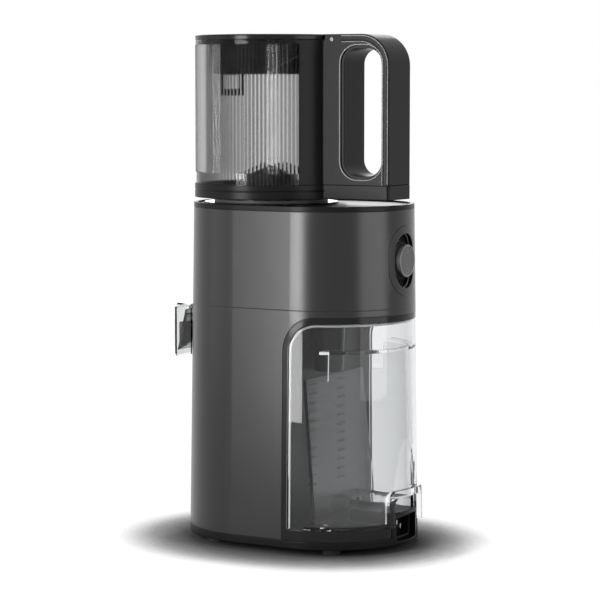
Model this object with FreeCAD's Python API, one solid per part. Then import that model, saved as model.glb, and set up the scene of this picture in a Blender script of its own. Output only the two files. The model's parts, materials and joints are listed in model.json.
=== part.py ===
import FreeCAD, Part
import math
import os

# A cold press juicer that stands on its feet. Millimetres, +Z up. The juice spout faces -Y,
# the handle faces +Y. Pieces are drawn round the middle of the body's plan and moved at the
# end, so that the origin is on the ground below the middle of the whole outline.

V = FreeCAD.Vector

# Clearances and walls
gap = 0.3               # between pieces of different bodies
running_fit = 0.05      # radial, shaft in hole
wall = 2.5              # moulded housing wall
overcut = 1.0           # how far a cut runs past the face that it opens

# Body plan: two half circles joined by straight sides, narrower towards the top
plan_half_run = 28.5    # from the middle to each half circle's centre
plan_radius = 76.9      # at the ground
taper = 0.0157          # radius lost per millimetre of height
plan_end = plan_half_run + plan_radius
far = 2 * plan_radius   # reach of cuts that pass right through

# Heights of the stack, from the ground up
foot_height = 6.0
base_thick = 3.0
base_ring_height = 6.5
sill_height = 10.0      # from the base seam to the pulp window
window_height = 177.0
trim_head = 5.5         # trim above the window
shell_head = 5.5        # shell above the trim
band_height = 84.0
rim_thick = 4.5
neck_height = 4.3       # shadow gap between the rim and the hopper's ring
ring_height = 12.2
window_foot = 10.0      # smooth band below the ribs
rib_height = 111.0
window_head = 4.0       # smooth band above the ribs
lid_thick = 4.5
base_seam = foot_height + base_ring_height
window_low = base_seam + sill_height
window_high = window_low + window_height
trim_high = window_high + trim_head
band_low = trim_high + shell_head
rim_seam = band_low + band_height
rim_top = rim_seam + rim_thick
ring_low = rim_top + neck_height
hopper_low = ring_low + ring_height
rib_low = hopper_low + window_foot
rib_high = rib_low + rib_height
lid_seam = rib_high + window_head
lid_top = lid_seam + lid_thick

# Hopper, on the axis shared by motor, drive shaft and chamber
hopper_radius = 67.0
hopper_wall = 2.6
hopper_setback = 5.4    # of its front behind the body's front at the ground
axis_y = hopper_radius + hopper_setback - plan_end
rib_pitch = 3.0         # degrees
rib_depth = 0.8
window_edge = 52.0      # degrees from +X to the window's end
ring_proud = 0.6
groove_rise = 6.3
groove_height = 0.9
groove_depth = 0.5
seal_thick = 2.0
seal_rise = 5.5         # of the hopper's seal above the ring's underside

# Chamber well, chamber, strainers and screw
well_clear = 14.0       # hopper's radius less the well's
well_radius = hopper_radius - well_clear
well_wall = 2.0
well_depth = 42.5       # below the band's seam
well_floor = 3.0
well_floor_low = band_low - well_depth
well_floor_high = well_floor_low + well_floor
deck_thick = 3.0
deck_low = band_low - 1.5 * deck_thick
deck_high = deck_low + deck_thick
ledge_height = 4.0
chamber_wall = 2.5
chamber_radius = well_radius - well_wall - gap
chamber_inner = chamber_radius - chamber_wall
chamber_low = well_floor_high + gap
chamber_base = 3.0
chamber_floor = chamber_low + chamber_base
neck_inset = 2.0
neck_rise = 6.0
chamber_neck_top = rim_top + neck_rise
flange_radius = well_radius + 6.0
flange_thick = 3.0
neck_seal_height = 2.5
neck_seal_thick = 1.6
throat_radius = chamber_inner - 3.7
strainer_wall = 1.5
coarse_radius = chamber_inner - 5.2
fine_radius = coarse_radius - 4.5
strainer_drop = 32.5    # of its top below the rim's seam
strainer_top = rim_seam - strainer_drop
strainer_flange = 3.0
slot_count = 18
slot_width = 1.2
slot_foot = 22.0
slot_head = 8.0
screw_radius = fine_radius - strainer_wall - 0.5
screw_core_low = 27.0
screw_core_high = 15.0
screw_lift = 0.5        # above the chamber's floor
screw_foot = 6.0
screw_drop = 2.5
screw_top = rim_seam - screw_drop
flight_turns = 2.0
flight_pitch = 40.0
flight_rise = 11.7
flight_thick = 4.0
flight_root = 8.0
helix_radius = 10.0
wing_radius = well_radius - 11.0
wing_rise = 34.0        # above the rim
wing_clear = 8.5
wing_half_thick = 2.25
wing_slope = 17.0
wing_hub_low = 14.0
wing_hub_high = 10.0
wing_hub_height = 20.0
wing_tip_height = 10.0
hex_flats = 12.0
hex_fit = 0.3
hex_reach = 25.0

# Drive train
tooth_module = 1.0
pinion_teeth = 12
wheel_teeth = 48
tooth_width = 8.0
centre_distance = tooth_module * (pinion_teeth + wheel_teeth) / 2
shaft_radius = 8.0
layshaft_radius = 3.0
motor_shaft_radius = 4.0
shaft_clear = 1.0
mount_height = 13.0
mount_radius = 5.5
mount_circle = 30.0
motor_height = 76.0
motor_radius = 38.0
motor_wall = 2.0
motor_low = foot_height + base_thick + mount_height
motor_high = motor_low + motor_height
motor_plate_thick = 3.0
motor_plate_radius = 42.0
vent_drop = 16.0
vent_height = 8.0
vent_width = 4.0
vent_step = 12.0
stator_rise = 12.0
stator_height = 38.0
stator_bore = 24.0
pole_bore = 20.5
pole_width = 10.0
pole_count = 6
core_radius = 20.0
fan_rise = 56.0
fan_height = 10.0
fan_hub_radius = 9.0
fan_radius = 31.0
blade_count = 7
blade_thick = 1.6
blade_tilt = 25.0
gearbox_low = motor_high + motor_plate_thick
gearbox_wall = 3.0
gearbox_room = 4.0      # round the wheels' pitch circles
gearbox_radius = wheel_teeth * tooth_module / 2 + gearbox_room
gearbox_cover_thick = 4.0
stage_one_low = gearbox_low + gearbox_wall + 2.0
stage_two_low = stage_one_low + tooth_width + 4.0
gearbox_cover_low = stage_two_low + tooth_width + 8.0
bearing_radius = 14.0
bearing_height = 10.0
bearing_seat = gearbox_cover_low + gearbox_cover_thick
tower_radius = 18.0
cover_screw_radius = 3.0
cover_screw_height = 2.0
cover_screw_x = 18.5
cover_screw_y = 19.0
seal_length = 11.0
seal_width = 1.5

# Feet and base plate
foot_radius_low = 7.5
foot_radius_high = 9.0
foot_inset = 24.9
foot_x = plan_radius - foot_inset
foot_y = plan_half_run + 29.5
slot_half = 22.0
base_slot_pitch = 8.0
base_slot_width = 3.0
base_slot_count = 7
base_screw_head = 3.5
base_screw_shank = 1.6
base_screw_sink = 0.4
base_screw_head_high = 2.0
base_screw_length = 9.0

# Opening for the pulp container, and its liner
liner_wall = 2.5
liner_clear = 0.5
liner_front = axis_y + well_radius + liner_clear
base_screw_y = liner_front + 9.5
trim_front = liner_front + 1.4
trim_bar = 6.0
window_front = trim_front + trim_bar
window_corner = 24.0
trim_corner = window_corner + trim_bar
ceiling_drop = 4.0
ceiling_low = trim_high - ceiling_drop
liner_slot_x = 25.0
liner_slot_half = 7.0
liner_slot_count = 12
liner_slot_pitch = 8.0
liner_slot_height = 2.4
liner_slot_low = window_low + 29.5

# Pulp way from the chamber to the chute
duct_left = 4.0
duct_right = 30.0
duct_wall = 2.0
duct_low = well_floor_high + 4.0
duct_high = duct_low + 21.0
chute_radius = 12.8
chute_flare = 1.2
chute_wall = 1.8
chute_x = 20.0
chute_y = liner_front + liner_wall + chute_radius + 1.2
chute_length = 46.5
chute_high = ceiling_low - 0.2
chute_low = ceiling_low - chute_length
chute_cap = 4.8

# Juice way from the chamber to the spout
port_half = 12.0
port_height = 15.0
port_low = well_floor_high + 4.0
port_high = port_low + port_height
spout_reach = 15.6      # of the lip in front of the body at the ground
nozzle_half = 17.4
nozzle_wall = 2.0
nozzle_rise = 10.0
nozzle_top = port_high + nozzle_rise
nozzle_drop = 12.5
nozzle_lip_z = port_low - nozzle_drop
nozzle_lip_y = -plan_end - spout_reach
nozzle_lean = 8.5       # of the slanted front, from lip to top
nozzle_crown = 23.0     # from the lip back to the sloping roof
nozzle_knee = 17.0      # from the lip back to the floor's bend
nozzle_knee_drop = 3.5
nozzle_root = axis_y - well_radius - running_fit
mouth_frame = 3.4
mouth_high = 23.5
mouth_low = 4.0
mouth_back = 9.0
mouth_step = 2.5
ear_width = 4.0
cap_pin_radius = 1.1
ear_radius = cap_pin_radius + 0.8
cap_pin_y = nozzle_lip_y + 12.5
cap_pin_z = nozzle_top + 1.8
cap_wall = 2.2
cap_face = 2.0
cap_play = 0.6
cap_half = nozzle_half + cap_play + cap_wall
cap_front = nozzle_lip_y - gap - cap_face
cap_back = nozzle_lip_y + 15.5
cap_top = nozzle_top + 6.0
cap_low = nozzle_lip_z - 5.0
cap_chamfer = 4.3
cap_rounding = 1.8
cap_toe = 2.6
cap_seal_low = nozzle_lip_z + 3.5
cap_seal_high = cap_seal_low + 22.0
cap_seal_clear = 0.5

# Dial and switch
dial_rise = 40.5
dial_z = band_low + dial_rise
dial_face = plan_half_run + plan_radius - taper * dial_z
bezel_half_width = 23.3
bezel_half_height = 30.3
bezel_depth = 13.4
bezel_proud = 0.3
recess_half_width = 16.5
recess_half_height = 23.7
recess_depth = 8.4
knob_radius = 14.0
knob_flange_radius = 15.6
knob_flange = 4.5
knob_proud = 1.8
knob_edge = 0.8
knob_bore = 6.2
dial_shaft_radius = 3.0
bezel_back = dial_face - bezel_depth
recess_back = dial_face - recess_depth
switch_depth = 16.0
switch_half_width = 12.0
switch_half_height = 13.0
switch_neck = 2.0
switch_neck_radius = 6.0
switch_back = bezel_back - switch_neck - switch_depth
shaft_entry = 8.0       # of the dial's shaft into the switch
bracket_thick = 3.0
bracket_half = 16.0
bracket_foot = 15.0
board_half = 28.0
board_thick = 1.6
board_width = 16.0
board_post = 4.0
board_post_radius = 2.5
board_post_x = 23.0
transformer_half = 6.0
transformer_height = 13.4
transformer_x = -12.0
capacitor_radius = 5.0
capacitor_height = 19.4
capacitor_x = 6.0
relay_half = 5.0
relay_height = 7.4
relay_x = 19.0

# Mains inlet
inlet_half = 23.0
inlet_height = 28.0
inlet_depth = 45.4
inlet_top = foot_height + inlet_height
inlet_front = plan_end - inlet_depth
inlet_corner = 5.0
inlet_skirt = 6.0
pocket_half = 17.5
pocket_half_height = 11.0
pocket_depth = 17.4
pocket_corner = 3.0
socket_half = 14.0
socket_half_height = 10.0
socket_wall = 2.0
socket_length = 11.0
socket_z = foot_height + 13.5
socket_back = plan_end - pocket_depth
pin_half = 1.0
pin_half_height = 2.0
pin_spread = 7.0
pin_tail = 8.0
pin_length = 14.0

# Pulp container
skirt_wall = 2.6        # clear skin that closes the opening
tub_wall = 2.2
tub_floor = 2.5
tub_radius_high = plan_radius - 25.9
tub_radius_low = plan_radius - 19.9
tub_centre = plan_end - 7.9 - tub_radius_high
tub_front_high = trim_front + 3.1
tub_front_low = tub_centre - 4.5
tub_rim = window_high - 23.5
tub_front_rim = chute_low - 5.5
shelf_thick = 2.5
notch_half = inlet_half + 1.5
notch_top = inlet_top + 13.5
tunnel_half = notch_half + 2.5
tunnel_top = inlet_top + 11.0
tunnel_corner = 8.0
arch_band = 6.0
arch_proud = 4.0
arch_corner = 9.0

# Handle, lid and hinge
handle_half = 20.0
handle_corner = 27.0
handle_root = 12.0
cover_depth = 2.2
cover_rounding = 1.2
grip_width = 36.6
grip_front = axis_y + hopper_radius + 16.7
grip_back = grip_front + grip_width
handle_back = grip_back + 7.7
grip_low = hopper_low + 8.0
grip_high = rib_high - 4.0
grip_corner = 13.0
bevel_depth = 1.6
bevel_front = 3.5
bevel_back = 1.8
bevel_corner = grip_corner + 3.0
hinge_y = axis_y + hopper_radius + 5.0
hinge_z = lid_seam + 0.1
hinge_pin_radius = 2.0
knuckle_radius = 4.3
knuckle_half = 17.3
pocket_back = 7.5
pocket_drop = 6.0
cheek_clear = 6.5
lid_notch = 11.0
tongue_length = 13.0
lid_rounding = 1.5
lid_wall = 2.0
skirt_height = 29.5
skirt_low = lid_seam - skirt_height
skirt_top_radius = hopper_radius - 5.5
skirt_low_radius = hopper_radius - 11.0
tab_radius = hopper_radius - 12.7
tab_thick = 2.5
tab_drop = 19.0
tab_low = skirt_low - tab_drop
tab_lap = 4.0
tab_frame = 6.0
tab_half_angle = 19.0
tab_side_angle = 5.0
relief_front = axis_y + 23.0
relief_bend = axis_y + 57.0
relief_low = lid_seam - 7.5
relief_high = lid_seam - 4.5


# Helpers
def body_radius(z):
    return plan_radius - taper * z


def stadium_wire(z, radius):
    run = plan_half_run
    back = Part.Arc(V(radius, run, z), V(0, run + radius, z), V(-radius, run, z))
    front = Part.Arc(V(-radius, -run, z), V(0, -run - radius, z), V(radius, -run, z))
    left = Part.LineSegment(V(-radius, run, z), V(-radius, -run, z))
    right = Part.LineSegment(V(radius, -run, z), V(radius, run, z))
    return Part.Wire([back.toShape(), left.toShape(), front.toShape(), right.toShape()])


def body_solid(low, high, inset=0.0):
    """The body's tapered outline between two heights, shrunk by inset all round."""
    wires = [stadium_wire(z, body_radius(z) - inset) for z in (low, high)]
    return Part.makeLoft(wires, True, True)


def body_wall(low, high, thick=wall, inset=0.0):
    return body_solid(low, high, inset).cut(body_solid(low - overcut, high + overcut, inset + thick))


def box(x0, x1, y0, y1, z0, z1):
    return Part.makeBox(x1 - x0, y1 - y0, z1 - z0, V(x0, y0, z0))


def slab(y0, y1, z0, z1):
    """A box right across the part."""
    return box(-far, far, y0, y1, z0, z1)


def cylinder(radius, low, high, x=0.0, y=axis_y):
    return Part.makeCylinder(radius, high - low, V(x, y, low))


def tube(outer, inner, low, high, x=0.0, y=axis_y):
    return cylinder(outer, low, high, x, y).cut(cylinder(inner, low - overcut, high + overcut, x, y))


def cone(radius_low, radius_high, low, high, x=0.0, y=axis_y):
    return Part.makeCone(radius_low, radius_high, high - low, V(x, y, low))


def along_x(radius, x0, x1, y, z):
    return Part.makeCylinder(radius, x1 - x0, V(x0, y, z), V(1, 0, 0))


def along_y(radius, y0, y1, z=dial_z):
    return Part.makeCylinder(radius, y1 - y0, V(0, y0, z), V(0, 1, 0))


def polar(radius, degrees, z):
    angle = math.radians(degrees)
    return V(radius * math.cos(angle), axis_y + radius * math.sin(angle), z)


def turned(shape, degrees):
    """The shape turned round the processing axis."""
    shape.rotate(V(0, axis_y, 0), V(0, 0, 1), degrees)
    return shape


def closed_face(points):
    return Part.Face(Part.makePolygon(points + [points[0]]))


def polygon_along_x(points, half):
    face = closed_face([V(-half, y, z) for y, z in points])
    return face.extrude(V(2 * half, 0, 0))


def rounded_box_x(half, y0, y1, z0, z1, radius):
    solid = box(-half, half, y0, y1, z0, z1)
    edges = [e for e in solid.Edges if abs(e.Vertexes[0].X - e.Vertexes[1].X) > half]
    return solid.makeFillet(radius, edges)


def rounded_box_y(half, y0, y1, z0, z1, radius):
    solid = box(-half, half, y0, y1, z0, z1)
    edges = [e for e in solid.Edges if abs(e.Vertexes[0].Y - e.Vertexes[1].Y) > (y1 - y0) / 2]
    return solid.makeFillet(radius, edges)


def oval_along_y(half_width, half_height, z, y0, y1):
    """An upright oval of two half circles, run along Y."""
    lift = half_height - half_width
    ends = [along_y(half_width, y0, y1, z - lift), along_y(half_width, y0, y1, z + lift)]
    middle = box(-half_width, half_width, y0, y1, z - lift, z + lift)
    return middle.fuse(ends).removeSplitter()


def window_cutter(front, low, high, corner):
    """The shape cut through both sides and round the back, rounded at its front top corners."""
    solid = slab(front, far, low, high)
    middle = (low + high) / 2
    edges = [e for e in solid.Edges
             if abs(e.Vertexes[0].X - e.Vertexes[1].X) > far
             and abs(e.Vertexes[0].Y - front) < gap
             and e.Vertexes[0].Z > middle]
    return solid.makeFillet(corner, edges)


def gear(teeth, low, x, bore):
    """A spur gear with straight flanks and backlash; a pinion's tooth or a wheel's space faces +X."""
    pitch_radius = tooth_module * teeth / 2
    outer = pitch_radius + 0.75 * tooth_module
    root = pitch_radius - 1.05 * tooth_module
    step = 2 * math.pi / teeth
    phase = 0.0 if teeth == pinion_teeth else step / 2
    points = []
    for tooth in range(teeth):
        middle = phase + tooth * step
        for radius, share in ((root, -0.30), (outer, -0.12), (outer, 0.12), (root, 0.30)):
            angle = middle + share * step
            points.append(V(x + radius * math.cos(angle), axis_y + radius * math.sin(angle), low))
    solid = closed_face(points).extrude(V(0, 0, tooth_width))
    return solid.cut(cylinder(bore, low - overcut, low + tooth_width + overcut, x))


def sector(outer, inner, low, high, start, end):
    """Part of a ring round the processing axis, from start to end degrees."""
    middle = (start + end) / 2
    edges = [Part.Arc(polar(outer, start, low), polar(outer, middle, low), polar(outer, end, low)).toShape(),
             Part.LineSegment(polar(outer, end, low), polar(inner, end, low)).toShape(),
             Part.Arc(polar(inner, end, low), polar(inner, middle, low), polar(inner, start, low)).toShape(),
             Part.LineSegment(polar(inner, start, low), polar(outer, start, low)).toShape()]
    return Part.Face(Part.Wire(edges)).extrude(V(0, 0, high - low))


def hexagon(flats, low, high):
    reach = flats / 2 / math.cos(math.radians(30))
    points = [polar(reach, 60 * step, low) for step in range(6)]
    return closed_face(points).extrude(V(0, 0, high - low))


# Base
def base_feet():
    pads = []
    for x in (-foot_x, foot_x):
        for y in (-foot_y, foot_y):
            pads.append(cone(foot_radius_low, foot_radius_high, 0, foot_height, x, y))
    return Part.makeCompound(pads)


def base_plate():
    plate = body_solid(foot_height, foot_height + base_thick, wall)
    slots = []
    for step in range(base_slot_count):
        front = base_slot_pitch * step - foot_y
        slots.append(box(-slot_half, slot_half, front, front + base_slot_width, 0, window_low))
    holes = [base_screw(x, y, gap / 2) for x, y in base_screw_places()]
    return plate.cut(Part.makeCompound(slots)).cut(port_space(0.0)).cut(Part.makeCompound(holes))


def port_space(clearance):
    half = inlet_half + clearance
    return box(-half, half, inlet_front - clearance, far, foot_height - overcut, inlet_top + clearance)


def base_ring():
    return body_wall(foot_height, base_seam).cut(port_space(0.0))


def inlet_housing():
    block = rounded_box_y(inlet_half, inlet_front, far, foot_height, inlet_top, inlet_corner)
    square_foot = box(-inlet_half, inlet_half, inlet_front, far, foot_height, foot_height + inlet_skirt)
    block = block.fuse(square_foot).common(body_solid(foot_height - overcut, inlet_top + overcut, gap))
    pocket = rounded_box_y(pocket_half, socket_back, far, socket_z - pocket_half_height,
                           socket_z + pocket_half_height, pocket_corner)
    inside = box(-inlet_half + wall, inlet_half - wall, inlet_front + wall, socket_back - wall,
                 0, inlet_top - wall)
    return block.cut(pocket).cut(inside).cut(inlet_back()).removeSplitter()


def inlet_back():
    half_height = socket_half_height - wall
    return box(-socket_half, socket_half, socket_back - wall, socket_back,
               socket_z - half_height, socket_z + half_height)


def power_inlet():
    body = rounded_box_y(socket_half, socket_back, socket_back + socket_length,
                         socket_z - socket_half_height, socket_z + socket_half_height, pocket_corner)
    inner_height = socket_half_height - socket_wall
    cavity = rounded_box_y(socket_half - socket_wall, socket_back + wall, far,
                           socket_z - inner_height, socket_z + inner_height, pocket_corner - overcut)
    return body.fuse(inlet_back()).cut(cavity).cut(inlet_pins())


def inlet_pins():
    blades = []
    start = socket_back - pin_tail
    for x, rise in ((-pin_spread, -1.5), (0, 2.5), (pin_spread, -1.5)):
        z = socket_z + rise
        blades.append(box(x - pin_half, x + pin_half, start, start + pin_length,
                          z - pin_half_height, z + pin_half_height))
    return Part.makeCompound(blades)


def base_screw_places():
    return [(x, y) for x in (-foot_x, foot_x) for y in (-base_screw_y, base_screw_y)]


def base_screw(x, y, grow=0.0):
    """A pan-head screw from below; grow makes the hole that it goes through."""
    head_low = foot_height + base_screw_sink - 3 * grow
    head_high = foot_height + base_screw_head_high
    head = cylinder(base_screw_head + grow, head_low, head_high, x, y)
    shank = cylinder(base_screw_shank + grow, head_high - gap, foot_height + base_screw_length, x, y)
    return head.fuse(shank)


def base_screws():
    return Part.makeCompound([base_screw(x, y) for x, y in base_screw_places()])


# Housing
def trim_zone():
    return window_cutter(trim_front, base_seam - overcut, trim_high, trim_corner)


def lower_shell():
    shell = body_wall(base_seam, band_low).cut(trim_zone())
    hole = box(-nozzle_half, nozzle_half, nozzle_lip_y, axis_y - chamber_inner,
               port_low - nozzle_knee_drop - gap, nozzle_top)
    ledge = body_wall(band_low - ledge_height, band_low, wall, wall)
    ledge = ledge.cut(slab(bezel_back - 2 * ledge_height, far, ceiling_low, band_low + overcut))
    return shell.cut(hole).fuse(ledge).removeSplitter()


def trim_frame():
    frame = body_wall(base_seam, trim_high).common(trim_zone())
    window = window_cutter(window_front, window_low, window_high, window_corner)
    notch = box(-notch_half, notch_half, inlet_front, far, base_seam - overcut, window_low + overcut)
    return frame.cut(window).cut(notch)


def recess_liner():
    block = body_solid(base_seam, trim_high, wall)
    front = block.common(slab(liner_front, liner_front + liner_wall, 0, lid_top))
    behind = block.common(slab(liner_front, far, 0, lid_top))
    ceiling = behind.common(slab(0, far, ceiling_low, ceiling_low + liner_wall))
    floor = behind.common(slab(0, far, window_low - liner_wall, window_low))
    liner = front.fuse([ceiling, floor]).cut(port_space(gap))
    slots = []
    for x in (-liner_slot_x, liner_slot_x):
        for step in range(liner_slot_count):
            low = liner_slot_low + liner_slot_pitch * step
            slots.append(box(x - liner_slot_half, x + liner_slot_half, 0, chute_y,
                             low, low + liner_slot_height))
    passage = pulp_passage(0.0, liner_front - overcut, liner_front + liner_wall + overcut)
    return liner.cut(Part.makeCompound(slots)).cut(passage).removeSplitter()


def pulp_passage(shrink, start, end):
    """The way that pulp takes from the chamber to the chute, shrunk all round."""
    return box(duct_left + shrink, duct_right - shrink, start, end, duct_low + shrink, duct_high - shrink)


def pulp_chute():
    outer = cone(chute_radius, chute_radius + chute_flare, chute_low, chute_high, chute_x, chute_y)
    inner = cone(chute_radius - chute_wall, chute_radius + chute_flare - chute_wall,
                 chute_low - overcut, chute_high - chute_cap, chute_x, chute_y)
    start = axis_y + well_radius - chute_flare
    neck = pulp_passage(0.0, start, chute_y)
    neck_inside = pulp_passage(duct_wall, start - overcut, chute_y)
    well = cylinder(well_radius + gap / 2, well_floor_low - well_depth, band_low)
    return outer.fuse(neck).cut(inner).cut(neck_inside).cut(well).removeSplitter()


def upper_band():
    hole = oval_along_y(bezel_half_width, bezel_half_height, dial_z, switch_back, far)
    return body_wall(band_low, rim_seam).cut(hole)


def top_rim():
    rim = body_solid(rim_seam, rim_top)
    rim = rim.cut(body_solid(rim_top - rim_thick / 3, rim_top + overcut, wall + overcut))
    rim = rim.cut(cylinder(flange_radius + overcut, rim_top - flange_thick, rim_top + overcut))
    return rim.cut(cylinder(well_radius - well_wall, rim_seam - overcut, rim_top + overcut))


def chamber_well():
    deck = body_solid(deck_low, deck_high, 2 * wall)
    cup = cylinder(well_radius, well_floor_low, rim_seam)
    inside = cylinder(well_radius - well_wall, well_floor_high, rim_seam + overcut)
    solid = deck.fuse(cup).cut(inside).cut(juice_passage(0.0))
    solid = solid.cut(pulp_passage(duct_wall, axis_y + screw_radius / 2, liner_front + overcut))
    return solid.cut(cylinder(shaft_radius + seal_width, well_floor_low - overcut,
                              well_floor_high + overcut)).removeSplitter()


# Spout
def juice_passage(shrink):
    """The way that juice takes from the chamber to the nozzle, shrunk all round."""
    half = port_half - shrink
    return box(-half, half, -plan_end, axis_y - coarse_radius - overcut,
               port_low + shrink, port_high - shrink)


def slope_y(z, shift=0.0):
    """The nozzle's slanted front face."""
    share = (z - nozzle_lip_z) / (nozzle_top - nozzle_lip_z)
    return nozzle_lip_y + share * nozzle_lean + shift


def juice_nozzle():
    crown = nozzle_lip_y + nozzle_crown
    knee = nozzle_lip_y + nozzle_knee
    knee_z = port_low - nozzle_knee_drop
    roof = nozzle_top - nozzle_rise / 2
    lip_inside = nozzle_lip_z + 1.5 * nozzle_wall
    beyond = nozzle_root + 2 * wall
    outline = [(nozzle_root, port_low - nozzle_wall), (nozzle_root, port_high + nozzle_wall),
               (crown, nozzle_top), (slope_y(nozzle_top), nozzle_top),
               (nozzle_lip_y, nozzle_lip_z), (knee, knee_z)]
    inside = [(beyond, port_low), (beyond, port_high), (crown, roof), (slope_y(roof, nozzle_wall), roof),
              (slope_y(lip_inside, nozzle_wall), lip_inside), (knee, knee_z + wall)]
    mouth_top = nozzle_lip_z + mouth_high
    mouth = [(nozzle_lip_y + mouth_back, nozzle_lip_z + mouth_low + wall),
             (nozzle_lip_y + mouth_back, mouth_top), (nozzle_lip_y - mouth_back, mouth_top),
             (nozzle_lip_y - mouth_back, nozzle_lip_z + mouth_low),
             (nozzle_lip_y + mouth_step, nozzle_lip_z + mouth_low)]
    solid = polygon_along_x(outline, nozzle_half)
    solid = solid.cut(polygon_along_x(inside, nozzle_half - nozzle_wall))
    solid = solid.cut(polygon_along_x(mouth, nozzle_half - mouth_frame))
    solid = solid.cut(cylinder(well_radius + running_fit, well_floor_low, band_low))
    ears = []
    for x0 in (-nozzle_half, nozzle_half - ear_width):
        x1 = x0 + ear_width
        root = box(x0, x1, cap_pin_y - ear_radius, cap_pin_y + ear_radius, nozzle_top - overcut, cap_pin_z)
        ears.append(along_x(ear_radius, x0, x1, cap_pin_y, cap_pin_z).fuse(root))
    return solid.fuse(ears).cut(cap_pin()).removeSplitter()


def juice_cap():
    outline = [(cap_back, cap_top - overcut), (cap_back - overcut, cap_top),
               (cap_front + cap_chamfer, cap_top), (cap_front, cap_top - cap_chamfer),
               (cap_front, cap_low + cap_chamfer), (cap_front + cap_toe, cap_low),
               (cap_back, cap_low + cap_toe)]
    face = cap_front + cap_face
    roof = cap_top - cap_face
    chamfer = 0.75 * cap_chamfer
    inside = [(axis_y - well_radius, cap_low - nozzle_rise), (axis_y - well_radius, roof),
              (face + chamfer, roof), (face, roof - chamfer), (face, cap_low - nozzle_rise)]
    hood = polygon_along_x(outline, cap_half)
    hood = hood.cut(polygon_along_x(inside, cap_half - cap_wall))
    front_edges = []
    for edge in hood.Edges:
        ends = (edge.Vertexes[0], edge.Vertexes[-1])
        if all(abs(abs(v.X) - cap_half) < running_fit and abs(v.Y - cap_front) < running_fit for v in ends):
            front_edges.append(edge)
    hood = hood.makeFillet(cap_rounding, front_edges)
    return hood.cut(along_x(cap_pin_radius + running_fit, -far, far, cap_pin_y, cap_pin_z))


def cap_pin():
    return along_x(cap_pin_radius, -cap_half, cap_half, cap_pin_y, cap_pin_z)


def cap_seal():
    front = cap_front + cap_face
    points = [(front, cap_seal_low), (front, cap_seal_high),
              (slope_y(cap_seal_high, -cap_seal_clear), cap_seal_high),
              (slope_y(cap_seal_low, -cap_seal_clear), cap_seal_low)]
    return polygon_along_x(points, nozzle_half - mouth_frame)


# Dial and electrics
def dial_bezel():
    solid = oval_along_y(bezel_half_width, bezel_half_height, dial_z, bezel_back, far)
    solid = solid.common(body_solid(band_low, rim_seam, -bezel_proud))
    recess = oval_along_y(recess_half_width, recess_half_height, dial_z, recess_back, far)
    hole = along_y(dial_shaft_radius + shaft_clear, bezel_back - overcut, far)
    return solid.cut(recess).cut(hole)


def dial_knob():
    low = recess_back + gap
    face = dial_face + knob_proud
    flange = along_y(knob_flange_radius, low, low + knob_flange)
    grip = Part.makeCone(knob_flange_radius - 0.4, knob_radius, face - low - knob_flange,
                         V(0, low + knob_flange, dial_z), V(0, 1, 0))
    solid = flange.fuse(grip)
    rim = [e for e in solid.Edges if abs(e.BoundBox.YMin - face) < running_fit]
    solid = solid.makeFillet(knob_edge, rim)
    return solid.cut(along_y(dial_shaft_radius, low - overcut, low + knob_bore))


def dial_shaft():
    return along_y(dial_shaft_radius, switch_back + shaft_entry, recess_back + gap + knob_bore)


def rotary_switch():
    body = box(-switch_half_width, switch_half_width, switch_back, switch_back + switch_depth,
               dial_z - switch_half_height, dial_z + switch_half_height)
    neck = along_y(switch_neck_radius, switch_back + switch_depth, bezel_back)
    bore = along_y(dial_shaft_radius + running_fit, switch_back + shaft_entry - running_fit, far)
    return body.fuse(neck).cut(bore)


def switch_bracket():
    front = switch_back - bracket_thick
    upright = box(-bracket_half, bracket_half, front, switch_back, deck_high, dial_z + switch_half_height)
    foot = box(-bracket_half, bracket_half, front - bracket_foot, switch_back,
               deck_high, deck_high + bracket_thick)
    return upright.fuse(foot)


def control_board():
    back = switch_back - bracket_thick - bracket_foot - 2.0
    middle = back - board_width / 2
    low = deck_high + board_post
    top = low + board_thick
    board = box(-board_half, board_half, back - board_width, back, low, top)
    posts = [cylinder(board_post_radius, deck_high, low, x, middle) for x in (-board_post_x, board_post_x)]
    capacitor = cylinder(capacitor_radius, top, top + capacitor_height, capacitor_x, middle)
    blocks = []
    for x, half, height in ((transformer_x, transformer_half, transformer_height),
                            (relay_x, relay_half, relay_height)):
        blocks.append(box(x - half, x + half, middle - half, middle + half, top, top + height))
    return board.fuse(posts + blocks + [capacitor])


# Motor and gears
def motor_mounts():
    pads = []
    for degrees in (45, 135, 225, 315):
        place = polar(mount_circle, degrees, 0)
        pads.append(cylinder(mount_radius, foot_height + base_thick, motor_low, place.x, place.y))
    return Part.makeCompound(pads)


def motor_can():
    can = cylinder(motor_radius, motor_low, motor_high)
    can = can.cut(cylinder(motor_radius - motor_wall, motor_low + motor_wall, motor_high - motor_wall))
    can = can.cut(cylinder(motor_shaft_radius + running_fit, motor_low - overcut, motor_high + overcut))
    slots = []
    for step in (-1, 0, 1):
        middle = axis_y + vent_step * step
        slots.append(slab(middle - vent_width / 2, middle + vent_width / 2,
                          motor_high - vent_drop, motor_high - vent_drop + vent_height))
    return can.cut(Part.makeCompound(slots))


def stator():
    low = motor_low + stator_rise
    high = low + stator_height
    ring = tube(motor_radius - motor_wall, stator_bore, low, high)
    poles = []
    for step in range(pole_count):
        pole = box(pole_bore, stator_bore + overcut, axis_y - pole_width / 2, axis_y + pole_width / 2,
                   low + 2, high - 2)
        poles.append(turned(pole, 360 / pole_count * step))
    return ring.fuse(poles).removeSplitter()


def motor_rotor():
    low = motor_low + stator_rise + overcut
    core = cylinder(core_radius, low, low + stator_height - 2 * overcut)
    shaft = cylinder(motor_shaft_radius, motor_low + motor_wall + gap, stage_one_low + tooth_width)
    return core.fuse(shaft)


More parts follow.
